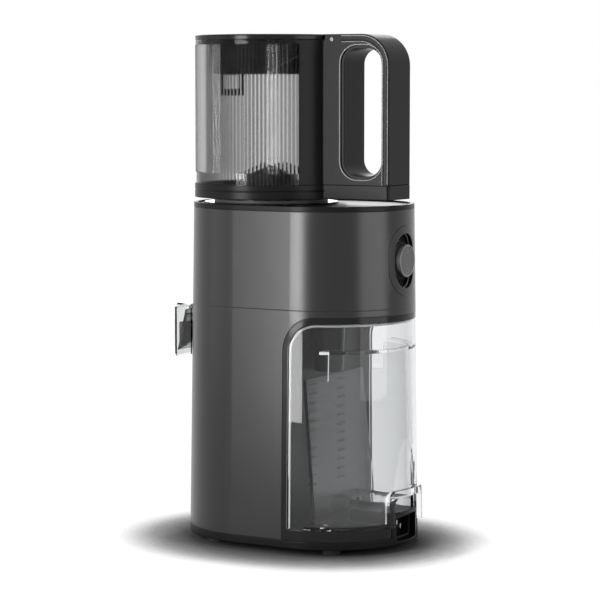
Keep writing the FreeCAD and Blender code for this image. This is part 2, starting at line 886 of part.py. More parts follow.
def cooling_fan():
    low = motor_low + fan_rise
    high = low + fan_height
    hub = tube(fan_hub_radius, motor_shaft_radius, low, high)
    blades = []
    for step in range(blade_count):
        blade = box(fan_hub_radius - overcut, fan_radius, axis_y - blade_thick / 2,
                    axis_y + blade_thick / 2, low + overcut, high)
        blade.rotate(V(0, axis_y, (low + high) / 2), V(1, 0, 0), blade_tilt)
        blades.append(turned(blade, 360 / blade_count * step))
    return hub.fuse(blades).removeSplitter()


def gearbox_plan(grow, low, high):
    radius = gearbox_radius + grow
    ends = [cylinder(radius, low, high, x) for x in (0, centre_distance)]
    middle = box(0, centre_distance, axis_y - radius, axis_y + radius, low, high)
    return middle.fuse(ends).removeSplitter()


def gearbox_case():
    case = gearbox_plan(gearbox_wall, gearbox_low, gearbox_cover_low)
    case = case.cut(gearbox_plan(0, gearbox_low + gearbox_wall, gearbox_cover_low + overcut))
    case = case.cut(cylinder(motor_shaft_radius + shaft_clear, gearbox_low - overcut, stage_one_low))
    boss = cylinder(2 * layshaft_radius, gearbox_low, stage_one_low - 0.5, centre_distance)
    bore = cylinder(layshaft_radius + running_fit, gearbox_low + 1, stage_one_low, centre_distance)
    return case.fuse(boss).cut(bore).removeSplitter()


def motor_plate():
    return tube(motor_plate_radius, motor_shaft_radius + shaft_clear, motor_high, gearbox_low)


def gearbox_cover():
    cover = gearbox_plan(gearbox_wall, gearbox_cover_low, bearing_seat)
    tower = cylinder(tower_radius, bearing_seat, well_floor_low)
    hollow = cylinder(bearing_radius, gearbox_cover_low - overcut, bearing_seat + bearing_height)
    throat = cylinder(shaft_radius + seal_width, bearing_seat, well_floor_low + overcut)
    bore = cylinder(layshaft_radius + running_fit, gearbox_cover_low - overcut, bearing_seat - 1,
                    centre_distance)
    return cover.fuse(tower).cut(hollow).cut(throat).cut(bore).removeSplitter()


def shaft_bearing():
    return tube(bearing_radius, shaft_radius + running_fit, bearing_seat, bearing_seat + bearing_height)


def shaft_seal():
    return tube(shaft_radius + seal_width, shaft_radius + running_fit, well_floor_high - seal_length,
                well_floor_high)


def gearbox_screws():
    screws = []
    for x in (-cover_screw_x, centre_distance + cover_screw_x):
        for y in (axis_y - cover_screw_y, axis_y + cover_screw_y):
            screws.append(cylinder(cover_screw_radius, bearing_seat, bearing_seat + cover_screw_height, x, y))
    return Part.makeCompound(screws)


def rotor_pinion():
    return gear(pinion_teeth, stage_one_low, 0, motor_shaft_radius)


def layshaft():
    return cylinder(layshaft_radius, gearbox_low + 1 + gap, bearing_seat - 1 - gap, centre_distance)


def layshaft_wheel():
    return gear(wheel_teeth, stage_one_low, centre_distance, layshaft_radius)


def layshaft_pinion():
    solid = gear(pinion_teeth, stage_two_low, centre_distance, layshaft_radius)
    solid.rotate(V(centre_distance, axis_y, 0), V(0, 0, 1), 180)
    return solid


def output_wheel():
    return gear(wheel_teeth, stage_two_low, 0, shaft_radius)


def drive_shaft():
    round_part = cylinder(shaft_radius, stage_two_low - 1.5, well_floor_high + 0.5)
    return round_part.fuse(hexagon(hex_flats, well_floor_high, well_floor_high + hex_reach))


# Chamber
def juicing_chamber():
    neck_radius = chamber_radius - neck_inset
    cup = cylinder(chamber_radius, chamber_low, rim_top - flange_thick)
    flange = cylinder(flange_radius, rim_top - flange_thick, rim_top)
    neck = cylinder(neck_radius, rim_top, chamber_neck_top)
    inside = cylinder(chamber_inner, chamber_floor, rim_top)
    throat = cylinder(neck_radius - chamber_wall, rim_top - overcut, chamber_neck_top + overcut)
    solid = cup.fuse([flange, neck]).cut(inside).cut(throat)
    solid = solid.cut(cylinder(shaft_radius + shaft_clear, chamber_low - overcut, chamber_floor + overcut))
    return solid.cut(juice_passage(1.0)).cut(chamber_outlet()).removeSplitter()


def chamber_outlet():
    return pulp_passage(duct_wall + 1.0, axis_y + screw_radius / 2, liner_front + overcut)


def strainer(radius, flange_outer):
    body = tube(radius, radius - strainer_wall, chamber_floor, strainer_top)
    flange = tube(flange_outer, radius - strainer_wall, strainer_top - strainer_flange, strainer_top)
    slots = []
    for step in range(slot_count):
        slot = box(radius - 2 * strainer_wall, radius + strainer_wall, axis_y - slot_width / 2,
                   axis_y + slot_width / 2, chamber_floor + slot_foot, strainer_top - slot_head)
        slots.append(turned(slot, (step + 0.5) * 360 / slot_count))
    ring = body.fuse(flange).cut(Part.makeCompound(slots))
    return ring.cut(chamber_outlet()).removeSplitter()


def fine_strainer():
    return strainer(fine_radius, fine_radius + 2.0)


def coarse_strainer():
    return strainer(coarse_radius, chamber_inner)


def chamber_seal():
    inner = chamber_radius - neck_inset
    return tube(inner + neck_seal_thick, inner, rim_top, rim_top + neck_seal_height)


def juicing_screw():
    low = chamber_floor + screw_lift
    core = cone(screw_core_low, screw_core_high, low, screw_top)
    foot = cylinder(screw_radius, low, low + screw_foot)
    helix = Part.makeHelix(flight_pitch, flight_turns * flight_pitch, helix_radius)
    profile = [V(flight_root, 0, 0), V(screw_radius, 0, 1), V(screw_radius, 0, flight_thick),
               V(flight_root, 0, 1.5 * flight_thick)]
    section = Part.makePolygon(profile + [profile[0]])
    flight = Part.Wire(helix.Edges).makePipeShell([section], True, True)
    flight.translate(V(0, axis_y, chamber_floor + flight_rise))
    bore = hexagon(hex_flats + 2 * hex_fit, low - overcut, well_floor_high + hex_reach + overcut)
    return core.fuse(foot).fuse(flight).cut(bore)


def feed_wing():
    wing_top = rim_top + wing_rise
    low = rim_top + wing_clear
    middle = wing_radius / 2
    pieces = [cone(wing_hub_low, wing_hub_high, screw_top, screw_top + wing_hub_height)]
    for degrees in (0, 180):
        blade = tube(middle + wing_half_thick, middle - wing_half_thick, low, wing_top, middle, axis_y)
        front = axis_y - wing_radius
        keep = [(front, low - overcut), (axis_y, low - overcut), (axis_y, wing_top),
                (front, wing_top - wing_slope)]
        blade = blade.common(polygon_along_x(keep, far))
        pieces.append(turned(blade, degrees + 30))
    tip_low = screw_top + wing_tip_height
    tip = cone(0.6 * wing_hub_high, 0.4 * wing_hub_high, tip_low, tip_low + 2 * wing_tip_height)
    return pieces[0].fuse(pieces[1:]).fuse(tip).removeSplitter()


# Hopper
def hopper_window():
    start = 180 - window_edge
    end = 360 + window_edge
    inner = hopper_radius - hopper_wall
    low_band = sector(hopper_radius - rib_depth / 2, inner, hopper_low, rib_low, start, end)
    high_band = sector(hopper_radius, inner, rib_high, lid_seam - gap, start, end)
    count = int(round((end - start) / rib_pitch))
    step = (end - start) / count
    points = []
    for rib in range(count):
        points.append(polar(hopper_radius - rib_depth, start + rib * step, rib_low))
        points.append(polar(hopper_radius, start + (rib + 0.5) * step, rib_low))
    points.append(polar(hopper_radius - rib_depth, end, rib_low))
    edges = [Part.LineSegment(a, b).toShape() for a, b in zip(points, points[1:])]
    inner_start = polar(inner, start, rib_low)
    inner_end = polar(inner, end, rib_low)
    edges.append(Part.LineSegment(points[-1], inner_end).toShape())
    edges.append(Part.Arc(inner_end, polar(inner, 270, rib_low), inner_start).toShape())
    edges.append(Part.LineSegment(inner_start, points[0]).toShape())
    ribs = Part.Face(Part.Wire(edges)).extrude(V(0, 0, rib_high - rib_low))
    return low_band.fuse([ribs, high_band])


def handle_outline(back, low, corner):
    solid = box(-handle_half, handle_half, axis_y + hopper_radius - handle_root, back, low, lid_top)
    edges = [e for e in solid.Edges
             if abs(e.Vertexes[0].X - e.Vertexes[1].X) > handle_half
             and abs(e.Vertexes[0].Y - back) < gap and abs(e.Vertexes[0].Z - lid_top) < gap]
    return solid.makeFillet(corner, edges)


def hopper_frame():
    inner = hopper_radius - hopper_wall
    back = sector(hopper_radius, inner, hopper_low, lid_seam - gap, window_edge, 180 - window_edge)
    handle = handle_outline(handle_back - cover_depth, hopper_low, handle_corner - cover_depth)
    handle = handle.cut(cylinder(inner, hopper_low - overcut, lid_top + overcut))
    grip = rounded_box_x(far, grip_front, grip_back, grip_low, grip_high, grip_corner)
    bevel = rounded_box_x(far, grip_front - bevel_front, grip_back + bevel_back,
                          grip_low - bevel_front, grip_high + bevel_front, bevel_corner)
    core = box(bevel_depth - handle_half, handle_half - bevel_depth, 0, far, 0, far + lid_top)
    bevel = bevel.cut(core)
    half = knuckle_half + gap
    pocket = box(-half, half, relief_front, hinge_y + pocket_back, hinge_z - pocket_drop, lid_top + overcut)
    cheeks = slab(0, hinge_y - cheek_clear, lid_seam - gap, lid_top + overcut)
    solid = back.fuse(handle).cut(grip).cut(bevel).cut(pocket).cut(cheeks)
    return solid.cut(lid_pin()).removeSplitter()


def handle_cover():
    outer = handle_outline(handle_back, hopper_low, handle_corner)
    inner = handle_outline(handle_back - cover_depth, hopper_low - overcut, handle_corner - cover_depth)
    cover = outer.cut(inner)
    rounding = []
    for edge in cover.Edges:
        ends = (edge.Vertexes[0], edge.Vertexes[-1])
        at_side = abs(abs(ends[0].X) - handle_half) < running_fit
        if at_side and all(abs(v.Y - handle_back) < running_fit for v in ends):
            rounding.append(edge)
    return cover.makeFillet(cover_rounding, rounding)


def hopper_ring():
    lip = hopper_radius + ring_proud
    half = handle_half + 0.4
    back = handle_back + 0.4
    tail = box(-half, half, 0, back, ring_low, hopper_low)
    tail_edges = [e for e in tail.Edges
                  if abs(e.Vertexes[0].Z - e.Vertexes[1].Z) > overcut and abs(e.Vertexes[0].Y - back) < gap]
    tail = tail.makeFillet(wall, tail_edges)
    solid = cylinder(lip, ring_low, hopper_low).fuse(tail)
    inner = hopper_radius - hopper_wall
    solid = solid.cut(cylinder(inner, ring_low + seal_rise, hopper_low + overcut))
    solid = solid.cut(cylinder(well_radius - overcut, ring_low - overcut, ring_low + wall))
    solid = solid.cut(cylinder(throat_radius, ring_low - overcut, hopper_low + overcut))
    groove_low = ring_low + groove_rise
    groove = tube(lip + overcut, lip - groove_depth, groove_low, groove_low + groove_height)
    groove = groove.cut(box(-handle_half, handle_half, 0, far, ring_low, hopper_low))
    hollow = box(-handle_half + wall, handle_half - wall, hinge_y - overcut, handle_back - wall,
                 ring_low - overcut, hopper_low - 1.5 * wall)
    return solid.cut(groove).cut(hollow).removeSplitter()


def hopper_seal():
    inner = hopper_radius - hopper_wall
    low = ring_low + seal_rise
    return tube(inner, inner - seal_thick, low, low + seal_thick)


def lid_pin():
    return along_x(hinge_pin_radius, -handle_half, handle_half, hinge_y, hinge_z)


def lid_disc():
    disc = cylinder(hopper_radius, lid_seam, lid_top)
    edges = [e for e in disc.Edges if abs(e.BoundBox.ZMin - lid_top) < gap and e.Length > hopper_radius]
    disc = disc.makeFillet(lid_rounding, edges)
    half = handle_half + gap
    disc = disc.cut(box(-half, half, hinge_y - lid_notch, far, lid_seam - overcut, lid_top + overcut))
    tongue = box(-knuckle_half, knuckle_half, hinge_y - tongue_length, hinge_y, hinge_z, lid_top)
    barrel = along_x(knuckle_radius, -knuckle_half, knuckle_half, hinge_y, hinge_z)
    bore = along_x(hinge_pin_radius + running_fit, -far, far, hinge_y, hinge_z)
    return disc.fuse([tongue, barrel]).cut(bore).removeSplitter()


def lid_skirt():
    shell = cone(skirt_low_radius, skirt_top_radius, skirt_low, lid_seam)
    shell = shell.cut(cone(skirt_low_radius - lid_wall, skirt_top_radius - lid_wall, skirt_low, lid_seam))
    below = skirt_low - overcut
    relief = [(relief_front, below), (far, below), (far, relief_high), (relief_bend, relief_low)]
    shell = shell.cut(polygon_along_x(relief, far))
    start = -90 - tab_half_angle
    end = -90 + tab_half_angle
    tab = sector(tab_radius, tab_radius - tab_thick, tab_low, skirt_low + tab_lap, start, end)
    hole = sector(tab_radius + tab_thick, tab_radius - 2 * tab_thick, tab_low + tab_frame,
                  skirt_low - overcut, start + tab_side_angle, end - tab_side_angle)
    return shell.fuse(tab.cut(hole)).removeSplitter()


# Pulp container
def tub(inset, low, rim):
    """The slanted tub, shrunk by inset all round and cut off at its rim."""
    wires = []
    ends = ((low, tub_front_low, tub_radius_low), (window_high, tub_front_high, tub_radius_high))
    for z, front, radius in ends:
        r = radius - inset
        y = front + inset
        arc = Part.Arc(V(r, tub_centre, z), V(0, tub_centre + r, z), V(-r, tub_centre, z))
        edges = [arc.toShape(),
                 Part.LineSegment(V(-r, tub_centre, z), V(-r, y, z)).toShape(),
                 Part.LineSegment(V(-r, y, z), V(r, y, z)).toShape(),
                 Part.LineSegment(V(r, y, z), V(r, tub_centre, z)).toShape()]
        wires.append(Part.Wire(edges))
    solid = Part.makeLoft(wires, True, True)
    return solid.common(slab(0, far, low, rim))


def pulp_container():
    low = window_low + gap
    high = window_high - gap
    skin = body_wall(low, high, skirt_wall, gap)
    skin = skin.common(window_cutter(window_front + gap, low - overcut, high, window_corner - gap))
    shelf = body_solid(tub_rim - shelf_thick, tub_rim, gap + overcut)
    shelf = shelf.common(slab(tub_centre, far, 0, lid_top))
    floor = body_solid(low, low + tub_floor, wall + gap).common(slab(tub_front_low, far, 0, lid_top))
    vessel = tub(0.0, low, tub_rim).fuse([shelf, floor, skin])
    tunnel = rounded_box_y(tunnel_half, 0, far, -foot_height, tunnel_top, tunnel_corner)
    vessel = vessel.cut(tub(tub_wall, low + tub_floor, tub_rim + overcut).cut(tunnel))
    front_room = slab(0, chute_y + chute_radius + 4.0, tub_front_rim, lid_top)
    inside_skin = body_solid(tub_front_rim - overcut, lid_top, gap + skirt_wall)
    vessel = vessel.cut(front_room.common(inside_skin))
    vessel = vessel.cut(rounded_box_y(notch_half, 0, far, -foot_height, tunnel_top - tub_wall,
                                      tunnel_corner - overcut))
    arch = rounded_box_y(notch_half + arch_band, inlet_front, far, 0, notch_top + arch_band, arch_corner)
    arch = arch.common(body_solid(0, notch_top + 2 * arch_band, -arch_proud))
    arch = arch.cut(body_solid(-overcut, notch_top + 3 * arch_band, gap + skirt_wall))
    arch = arch.cut(slab(0, far, -overcut, low))
    hollow = rounded_box_y(notch_half, inlet_front, far, -foot_height, notch_top, tunnel_corner - overcut)
    return vessel.fuse(arch).cut(hollow).removeSplitter()


NODES = [
    base_feet, base_plate, base_ring, inlet_housing, power_inlet, inlet_pins, base_screws,
    lower_shell, trim_frame, recess_liner, pulp_chute, upper_band, top_rim, chamber_well,
    juice_nozzle, juice_cap, cap_pin, cap_seal, dial_bezel, dial_knob, dial_shaft, rotary_switch,
    switch_bracket, control_board, motor_mounts, motor_can, stator, motor_rotor, cooling_fan,
    motor_plate, gearbox_case, gearbox_cover, shaft_bearing, shaft_seal, gearbox_screws,
    rotor_pinion, layshaft, layshaft_wheel, layshaft_pinion, output_wheel, drive_shaft,
    juicing_chamber, fine_strainer, coarse_strainer, chamber_seal, juicing_screw, feed_wing,
    hopper_window, hopper_frame, handle_cover, hopper_ring, hopper_seal, lid_pin, lid_disc,
    lid_skirt, pulp_container,
]

# The row's origin is the middle of the whole outline on the ground, spout and grip included
arch_back = plan_half_run + body_radius(window_low + gap) + arch_proud
outline_middle = (cap_front + arch_back) / 2

os.makedirs("parts", exist_ok=True)
for make in NODES:
    shape = make()
    shape.translate(V(0, -outline_middle, 0))
    bounds = shape.BoundBox
    facts = (make.__name__, len(shape.Solids), shape.isValid(), bounds.ZMin, bounds.ZMax)
    print("%-18s solids %d valid %s  z %.1f to %.1f" % facts)
    shape.exportStep("parts/" + make.__name__ + ".step")
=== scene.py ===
import json
import math

import bmesh
import bpy
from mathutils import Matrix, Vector


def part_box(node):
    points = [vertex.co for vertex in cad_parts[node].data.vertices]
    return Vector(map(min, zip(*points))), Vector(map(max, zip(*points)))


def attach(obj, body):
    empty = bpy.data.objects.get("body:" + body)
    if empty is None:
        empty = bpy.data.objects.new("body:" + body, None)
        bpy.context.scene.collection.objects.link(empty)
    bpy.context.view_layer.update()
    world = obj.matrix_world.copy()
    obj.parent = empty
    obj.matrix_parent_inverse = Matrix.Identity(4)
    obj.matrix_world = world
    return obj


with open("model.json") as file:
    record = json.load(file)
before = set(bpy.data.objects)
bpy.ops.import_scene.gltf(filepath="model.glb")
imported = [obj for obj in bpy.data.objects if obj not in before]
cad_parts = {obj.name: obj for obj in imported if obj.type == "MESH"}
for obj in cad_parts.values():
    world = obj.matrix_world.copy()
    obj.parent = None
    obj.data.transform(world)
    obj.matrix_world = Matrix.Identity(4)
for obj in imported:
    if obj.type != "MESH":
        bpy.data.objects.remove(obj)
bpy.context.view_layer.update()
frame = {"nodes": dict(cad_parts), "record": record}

nodes = frame["nodes"]

# Camera, at the photograph's viewing angle, fitted to the seams of the body
VIEW_ANGLE = math.radians(60.0)      # from +Y towards +X, seen from above
CAMERA_REACH = 2.0495                # metres from the middle of the body's plan
CAMERA_HEIGHT = 0.40485
CAMERA_PITCH = math.radians(5.37)
CAMERA_SIDE = 0.0016
CLIP_END = 20.0
LENS_PIXELS = 2329.0
IMAGE_PIXELS = 600.0
SENSOR_MM = 36.0

# Lamps: angle from +X towards +Y, reach, height, aim, the panel's width and height, watts
MIDDLE = (0, 0, 0.22)
SOFTBOXES = {
    "key_softbox": (-15, 0.8, 0.335, (0.05, 0, 0.3), 0.24, 0.62, 9.0),
    "fill_softbox": (-55, 1.0, 0.36, MIDDLE, 0.5, 0.62, 0.8),
    "rim_softbox": (87, 0.95, 0.36, MIDDLE, 0.70, 0.66, 5.0),
    "far_softbox": (-150, 1.2, 0.5, MIDDLE, 0.6, 0.9, 3.0),
    "top_softbox": (180, 0.1, 1.35, MIDDLE, 0.7, 0.7, 3.0),
}

# Background and floor
ROOM_GRAY = 0.5
ROOM_STRENGTH = 0.30
FLOOR_REACH = 4.0
FLOOR_PAINT = 0.08
SHADOW_REACH = 0.072                 # how far the contact shadow spreads, in metres
SHADOW_DEPTH = 8.0
SHADOW_SAMPLES = 8

# Solid materials: colour, roughness, scale and height of the grain, what isn't the default
SOLID_MATERIALS = {
    "housing_satin": ((0.010, 0.010, 0.0104), 0.26, 1400, 0.000005,
                      {"spread": 0.04, "specular": 0.32}),
    "black_satin": ((0.006, 0.006, 0.0064), 0.31, 1100, 0.00001, {"specular": 0.08}),
    "black_gloss": ((0.008, 0.008, 0.009), 0.16, 300, 0.00001, {"specular": 0.14}),
    "inner_plastic": ((0.022, 0.023, 0.025), 0.42, 700, 0.00002, {"specular": 0.3}),
    "liner_satin": ((0.030, 0.031, 0.033), 0.40, 700, 0.00002, {"specular": 0.3}),
    "knob_satin": ((0.035, 0.035, 0.037), 0.30, 900, 0.00001, {}),
    "screw_plastic": ((0.035, 0.035, 0.038), 0.28, 500, 0.00002, {}),
    "gear_plastic": ((0.68, 0.66, 0.6), 0.45, 500, 0.00003, {}),
    "rubber_black": ((0.018, 0.018, 0.018), 0.75, 600, 0.0001, {}),
    "silicone": ((0.10, 0.10, 0.105), 0.5, 500, 0.00003, {}),
    "board": ((0.03, 0.12, 0.06), 0.4, 120, 0.0001, {}),
    "steel": ((0.62, 0.62, 0.64), 0.24, 900, 0.00002, {"metallic": 1.0}),
    "dark_steel": ((0.06, 0.06, 0.062), 0.25, 900, 0.00001, {"metallic": 1.0}),
    "copper_winding": ((0.55, 0.22, 0.08), 0.35, 260, 0.0002, {"metallic": 1.0}),
    # painted highlight: a light gray for lines along edges, standing in for the light that the
    # edges catch
    "painted_highlight_line": ((0.16, 0.16, 0.165), 0.25, 600, 0.00001, {}),
    # painted shade: a near-black for lines in seams and grooves, standing in for the shade
    # inside them
    "painted_seam_shade": ((0.003, 0.003, 0.003), 0.6, 600, 0.00001, {"specular": 0.1}),
    # light gray of the knob's printed marks, also used for a painted highlight at the edge of
    # its face
    "print_and_highlight": ((0.42, 0.42, 0.43), 0.5, 800, 0.00001, {}),
    # painted highlight: a light gray for the clear container's rim, standing in for the light on
    # its edge
    "rim_highlight": ((0.50, 0.51, 0.52), 0.12, 200, 0.00001, {}),
}
COLOUR_SCALE = 35.0                  # of the soft noise in the colour
ROUGHNESS_SCALE = 60.0
ROUGHNESS_SPREAD = 0.01
NOISE_LOW, NOISE_HIGH = 0.3, 0.7     # the part of the noise that is used
EDGE_ROUNDING = 0.0011               # metres, of the shading only
GRAIN_STRENGTH = 0.6

# Clear materials
CLEAR_MIDDLE = (0.90, 0.905, 0.91)
CLEAR_EDGE = (0.70, 0.71, 0.72)      # where the plastic is seen edge on
SMOKY_TINT = (0.56, 0.56, 0.57)
# painted light and shade of the window's ribs, as bands in its colour
RIB_DARK, RIB_LIGHT = 0.16, 0.80
RIBS_PER_TURN = 119                  # one to each moulded rib of the window
RIB_DEPTH, RIB_LEVEL, RIB_FLANK = 0.34, 0.72, 1.5

# Nodes whose material isn't the one of their slot in the record
OTHER_MATERIALS = {"trim_frame": "black_gloss", "pulp_chute": "black_gloss",
                   "lid_pin": "dark_steel", "dial_knob": "knob_satin",
                   "recess_liner": "liner_satin"}
SHARP_ANGLE = math.radians(28)

# Sizes of the model that its boxes don't tell, in metres
TRIM_BAR = 0.006
TRIM_CORNER = 0.030
KNOB_FACE_RADIUS = 0.014
HANDLE_CORNER = 0.027
GRIP_FRONT = 0.0837                  # from the hopper's axis
GRIP_BACK = 0.1203
GRIP_LOW = 0.3235
GRIP_HIGH = 0.4325
GRIP_EDGE = 0.0035                   # width of the moulded edge round the opening
GRIP_CORNER = 0.0165
LINE_INSET = 0.0016                  # from an edge to the line that follows it
CORNER_STEPS = 12                    # straight runs round a quarter turn
GRIP_STEPS = 8
OVAL_STEPS = 24

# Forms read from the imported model, in metres
ring_low, ring_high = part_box("base_ring")
rim_low, rim_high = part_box("top_rim")
radius_low = ring_high.x
plan_taper = (ring_high.x - rim_high.x) / (rim_low.z - ring_low.z)
plan_half_run = (ring_high.y - ring_low.y) / 2 - radius_low
plan_middle = (ring_high.y + ring_low.y) / 2
back_centre = plan_middle + plan_half_run
window_low, window_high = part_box("hopper_window")
hopper_axis_y = window_low.y + window_high.x


# Camera, lamps, background and floor
def make_camera():
    data = bpy.data.cameras.new("camera")
    data.sensor_width = SENSOR_MM
    data.lens = LENS_PIXELS / IMAGE_PIXELS * SENSOR_MM
    data.clip_end = CLIP_END
    camera = bpy.data.objects.new("camera", data)
    bpy.context.scene.collection.objects.link(camera)
    towards = Vector((math.sin(VIEW_ANGLE), math.cos(VIEW_ANGLE), 0.0))
    right = Vector((-math.cos(VIEW_ANGLE), math.sin(VIEW_ANGLE), 0.0))
    place = towards * CAMERA_REACH - right * CAMERA_SIDE
    camera.location = (place.x, place.y + plan_middle, CAMERA_HEIGHT)
    look = -towards * math.cos(CAMERA_PITCH) + Vector((0, 0, -math.sin(CAMERA_PITCH)))
    camera.rotation_euler = look.to_track_quat("-Z", "Y").to_euler()
    bpy.context.scene.camera = camera


def make_softbox(name, angle, reach, height, aim, panel_width, panel_height, power):
    """A lamp that lights and is mirrored, but isn't seen itself or through glass."""
    turn = math.radians(angle)
    place = Vector((reach * math.cos(turn), reach * math.sin(turn), height))
    data = bpy.data.lights.new(name, "AREA")
    data.shape = "RECTANGLE"
    data.size = panel_width
    data.size_y = panel_height
    data.energy = power
    lamp = bpy.data.objects.new(name, data)
    bpy.context.scene.collection.objects.link(lamp)
    lamp.location = place
    lamp.rotation_euler = (Vector(aim) - place).to_track_quat("-Z", "Y").to_euler()
    lamp.visible_camera = False
    lamp.visible_transmission = False


def add_node(tree, kind, **values):
    """A shader node, with constants on the sockets that are named."""
    node = tree.nodes.new(kind)
    for name, value in values.items():
        node.inputs[name].default_value = value
    return node


def maths(tree, operation, first, second):
    """The result of a maths node; each side is a socket or a number."""
    node = tree.nodes.new("ShaderNodeMath")
    node.operation = operation
    for socket, value in zip(node.inputs, (first, second)):
        if isinstance(value, float):
            socket.default_value = value
        else:
            tree.links.new(value, socket)
    return node.outputs[0]


def background_rays(tree):
    """One for the rays that see the white background: camera, mirror and glass rays."""
    path = tree.nodes.new("ShaderNodeLightPath")
    seen = path.outputs["Is Camera Ray"]
    for kind in ("Is Glossy Ray", "Is Transmission Ray"):
        seen = maths(tree, "MAXIMUM", seen, path.outputs[kind])
    return seen


def make_world():
    world = bpy.data.worlds.new("studio")
    bpy.context.scene.world = world
    world.use_nodes = True
    tree = world.node_tree
    tree.nodes.clear()
    room = add_node(tree, "ShaderNodeBackground", Strength=ROOM_STRENGTH,
                    Color=(ROOM_GRAY, ROOM_GRAY, ROOM_GRAY, 1))
    white = add_node(tree, "ShaderNodeBackground", Strength=1.0, Color=(1, 1, 1, 1))
    mix = tree.nodes.new("ShaderNodeMixShader")
    out = tree.nodes.new("ShaderNodeOutputWorld")
    tree.links.new(background_rays(tree), mix.inputs[0])
    tree.links.new(room.outputs[0], mix.inputs[1])
    tree.links.new(white.outputs[0], mix.inputs[2])
    tree.links.new(mix.outputs[0], out.inputs["Surface"])


def floor_material():
    """White to the rays that see the background, less the contact shadow, over dark paint."""
    material = bpy.data.materials.new("floor_white")
    material.use_nodes = True
    tree = material.node_tree
    tree.nodes.clear()
    paint = add_node(tree, "ShaderNodeBsdfDiffuse",
                     Color=(FLOOR_PAINT, FLOOR_PAINT, FLOOR_PAINT, 1))
    glow = add_node(tree, "ShaderNodeEmission", Color=(1, 1, 1, 1))
    near = add_node(tree, "ShaderNodeAmbientOcclusion", Distance=SHADOW_REACH)
    near.samples = SHADOW_SAMPLES
    shade = maths(tree, "POWER", near.outputs["AO"], SHADOW_DEPTH)
    level = maths(tree, "MULTIPLY", background_rays(tree), shade)
    add = tree.nodes.new("ShaderNodeAddShader")
    out = tree.nodes.new("ShaderNodeOutputMaterial")
    tree.links.new(level, glow.inputs["Strength"])
    tree.links.new(paint.outputs[0], add.inputs[0])
    tree.links.new(glow.outputs[0], add.inputs[1])
    tree.links.new(add.outputs[0], out.inputs["Surface"])
    return material


def make_floor():
    mesh = bpy.data.meshes.new("floor")
    reach = FLOOR_REACH
    corners = [(-reach, -reach, 0), (reach, -reach, 0), (reach, reach, 0), (-reach, reach, 0)]
    mesh.from_pydata(corners, [], [(0, 1, 2, 3)])
    floor = bpy.data.objects.new("floor", mesh)
    bpy.context.scene.collection.objects.link(floor)
    mesh.materials.append(floor_material())


# Materials
def principled(name):
    material = bpy.data.materials.new(name)
    material.use_nodes = True
    return material, material.node_tree, material.node_tree.nodes["Principled BSDF"]


def two_tone(tree, low, high):
    """A colour ramp from one colour to another; a number stands for a gray."""
    ramp = tree.nodes.new("ShaderNodeValToRGB")
    for element, value in zip(ramp.color_ramp.elements, (low, high)):
        element.color = (value if isinstance(value, tuple) else (value, value, value)) + (1,)
    return ramp


def object_noise(tree, scale, detail):
    place = tree.nodes.new("ShaderNodeTexCoord")
    noise = add_node(tree, "ShaderNodeTexNoise", Scale=scale, Detail=detail)
    tree.links.new(place.outputs["Object"], noise.inputs["Vector"])
    return noise


def mottle(tree, low, high, scale, socket):
    """A soft noise between two values or two colours, into a socket."""
    noise = object_noise(tree, scale, 4.0)
    ramp = two_tone(tree, low, high)
    ramp.color_ramp.elements[0].position = NOISE_LOW
    ramp.color_ramp.elements[1].position = NOISE_HIGH
    tree.links.new(noise.outputs["Fac"], ramp.inputs[0])
    tree.links.new(ramp.outputs[0], socket)


def grain(tree, shader, scale, height):
    """Fine surface relief, over edges rounded by a bevel."""
    noise = object_noise(tree, scale, 3.0)
    bevel = add_node(tree, "ShaderNodeBevel", Radius=EDGE_ROUNDING)
    bevel.samples = 6
    bump = add_node(tree, "ShaderNodeBump", Distance=height, Strength=GRAIN_STRENGTH)
    tree.links.new(noise.outputs["Fac"], bump.inputs["Height"])
    tree.links.new(bevel.outputs[0], bump.inputs["Normal"])
    tree.links.new(bump.outputs[0], shader.inputs["Normal"])


def solid_material(name, colour, rough, grain_scale, grain_height,
                   spread=0.12, specular=0.5, metallic=0.0):
    material, tree, shader = principled(name)
    dark = tuple(c * (1 - spread) for c in colour)
    light = tuple(c * (1 + spread) for c in colour)
    mottle(tree, dark, light, COLOUR_SCALE, shader.inputs["Base Color"])
    mottle(tree, rough - ROUGHNESS_SPREAD, rough + ROUGHNESS_SPREAD, ROUGHNESS_SCALE,
           shader.inputs["Roughness"])
    shader.inputs["Metallic"].default_value = metallic
    shader.inputs["Specular IOR Level"].default_value = specular
    grain(tree, shader, grain_scale, grain_height)
    return material


def clear_material(name, tint, rough, ior, tint_and_shade_maker):
    material, tree, shader = principled(name)
    shader.inputs["Base Color"].default_value = tint + (1,)
    mottle(tree, rough, rough + 0.02, 40.0, shader.inputs["Roughness"])
    shader.inputs["Transmission Weight"].default_value = 1.0
    shader.inputs["IOR"].default_value = ior
    tint_and_shade_maker(tree, shader)
    return material


def edge_tint(tree, shader):
    """Clear plastic that gathers depth where it is seen edge on."""
    facing = add_node(tree, "ShaderNodeLayerWeight", Blend=0.25)
    ramp = two_tone(tree, CLEAR_MIDDLE, CLEAR_EDGE)
    tree.links.new(facing.outputs["Facing"], ramp.inputs[0])
    tree.links.new(ramp.outputs[0], shader.inputs["Base Color"])


